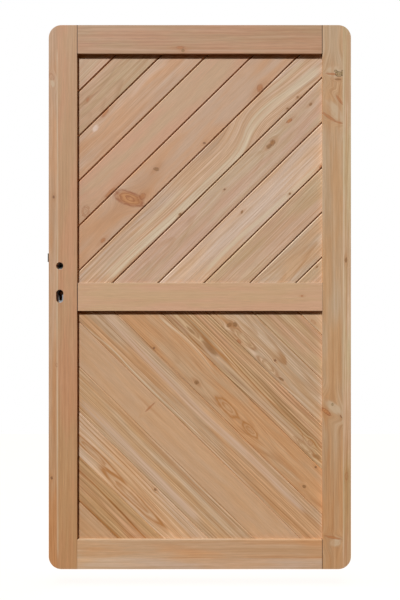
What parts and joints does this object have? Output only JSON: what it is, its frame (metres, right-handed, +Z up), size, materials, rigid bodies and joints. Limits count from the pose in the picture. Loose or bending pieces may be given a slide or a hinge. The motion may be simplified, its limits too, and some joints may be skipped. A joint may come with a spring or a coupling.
{
  "type": "garden gate leaf",
  "caption": "Framed softwood garden gate leaf with diagonal tongue-and-groove boards above and below a middle rail, rounded outer corners and a mortise lock.",
  "frame": {"origin": "centre of the hinge edge: the outer face of the hinge stile, at half height and half thickness", "axes": "+X out of the hinge edge away from the leaf, +Y from the front face to the rear face, +Z up"},
  "size_m": [1.0075, 0.045, 1.8],
  "materials": {
    "stile_timber": "planed, unfinished",
    "rail_timber": "planed, unfinished",
    "board_timber": "planed, unfinished",
    "zinc_plated_steel": "zinc plated",
    "bolt_steel": "dull nickel plated"
  },
  "bodies": {
    "gate": {"lock_stile": "stile_timber", "hinge_stile": "stile_timber", "top_rail": "rail_timber", "middle_rail": "rail_timber", "bottom_rail": "rail_timber", "upper_board_01": "board_timber", "upper_board_02": "board_timber", "upper_board_03": "board_timber", "upper_board_04": "board_timber", "upper_board_05": "board_timber", "upper_board_06": "board_timber", "upper_board_07": "board_timber", "upper_board_08": "board_timber", "upper_board_09": "board_timber", "upper_board_10": "board_timber", "upper_board_11": "board_timber", "lower_board_01": "board_timber", "lower_board_02": "board_timber", "lower_board_03": "board_timber", "lower_board_04": "board_timber", "lower_board_05": "board_timber", "lower_board_06": "board_timber", "lower_board_07": "board_timber", "lower_board_08": "board_timber", "lower_board_09": "board_timber", "lower_board_10": "board_timber", "lower_board_11": "board_timber", "lock_faceplate": "zinc_plated_steel", "lock_case": "zinc_plated_steel", "lock_case_cover": "zinc_plated_steel", "dead_bolt": "bolt_steel"},
    "latch": {"latch_bolt": "bolt_steel"},
    "follower": {"follower": "bolt_steel"}
  },
  "joints": [
    {"name": "follower_turn", "type": "hinge", "parent": "gate", "child": "follower", "pos_m": [-0.9635, 0, 0.1035], "axis": [0, 1, 0], "range_deg": [0, 30]},
    {"name": "latch_slide", "type": "slide", "parent": "gate", "child": "latch", "axis": [1, 0, 0], "range_m": [0, 0.0075], "stiffness_N_per_m": 150, "springref_m": -0.02}
  ],
  "couplings": [
    {"joint": "follower_turn", "follows": "latch_slide", "rad_per_m": 69.8}
  ]
}
